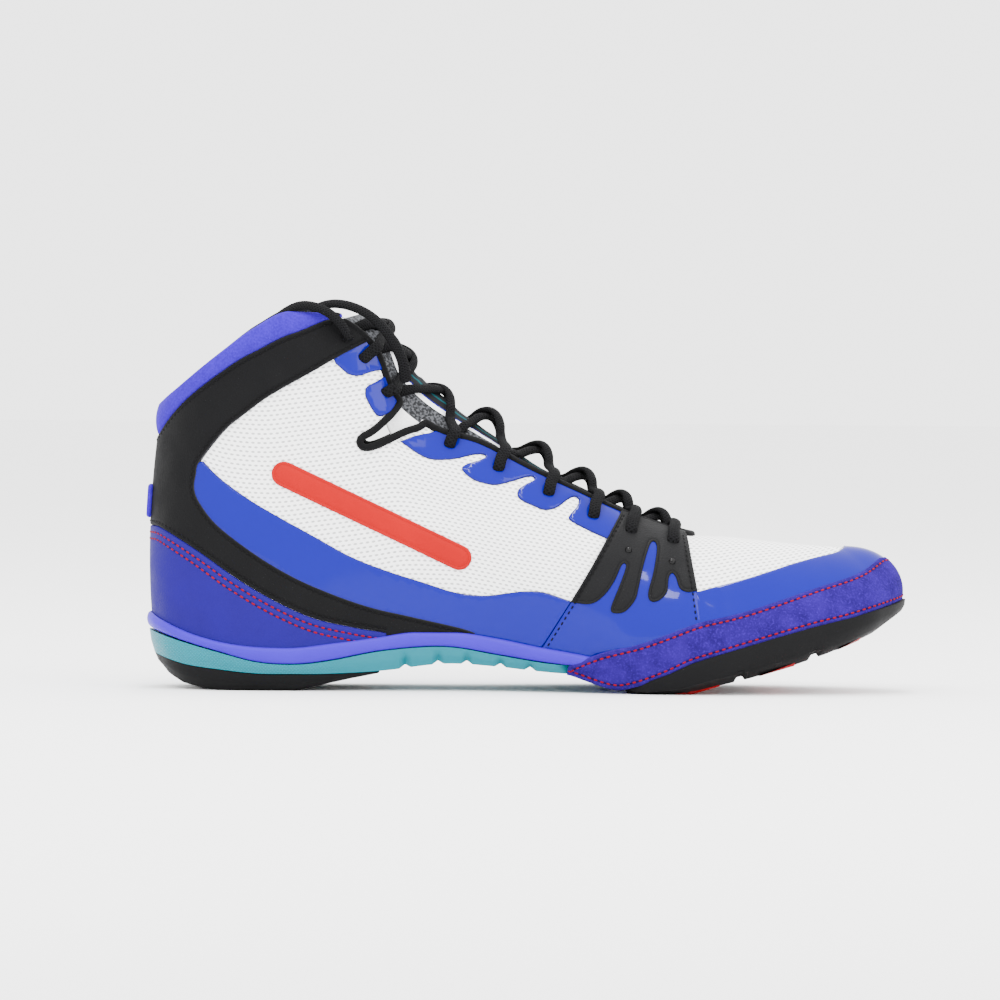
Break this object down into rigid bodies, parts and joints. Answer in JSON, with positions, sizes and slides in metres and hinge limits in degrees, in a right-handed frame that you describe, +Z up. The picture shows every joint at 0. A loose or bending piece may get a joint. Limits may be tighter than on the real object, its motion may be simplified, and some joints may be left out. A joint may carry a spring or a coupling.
{
  "type": "wrestling shoe",
  "caption": "Ankle-high lace-up wrestling shoe for the left foot, with a mesh upper, patent and suede panels, an ankle strap and a thin flexible sole.",
  "frame": {"origin": "on the floor, in the middle of the flat spot under the heel", "axes": "+X towards the toe, +Y towards the lateral (outer, left) side, +Z up; the medial side faces -Y"},
  "size_m": [0.29, 0.096, 0.1485],
  "materials": {
    "mesh": "white open knit mesh",
    "patent": "glossy patent blue",
    "suede": "violet-blue suede",
    "counter": "matte violet-blue synthetic leather",
    "band": "smooth violet-blue foam rubber",
    "turquoise": "satin turquoise rubber",
    "black_rubber": "satin black rubber",
    "black_strap": "matte black synthetic leather",
    "collar_knit": "brushed violet-blue knit",
    "tongue_cloth": "heather grey cloth",
    "lace": "black woven cord",
    "red": "satin red film",
    "lining": "black lining cloth"
  },
  "bodies": {
    "root": {"upper": "mesh", "tongue": "tongue_cloth", "insole": "lining", "midsole": "band", "rear_sole": "turquoise", "heel_pad": "black_rubber", "forefoot_outsole": "black_rubber", "toe_guard": "suede", "toe_cap": "patent", "mudguard_medial": "patent", "mudguard_lateral": "patent", "lace_cage_medial": "black_strap", "lace_cage_lateral": "black_strap", "ankle_strap": "black_strap", "heel_counter": "counter", "collar_roll": "collar_knit", "eyestay_top_medial": "patent", "eyestay_top_lateral": "patent", "eyestay_mid_medial": "patent", "eyestay_mid_lateral": "patent", "side_bar_medial": "red", "side_bar_lateral": "red", "lace_crossing_1": "lace", "lace_crossing_2": "lace", "lace_crossing_3": "lace", "lace_crossing_4": "lace", "lace_crossing_5": "lace", "lace_crossing_6": "lace", "lace_crossing_7": "lace", "lace_crossing_8": "lace", "lace_end_rear": "lace", "lace_end_front": "lace"}
  },
  "joints": []
}
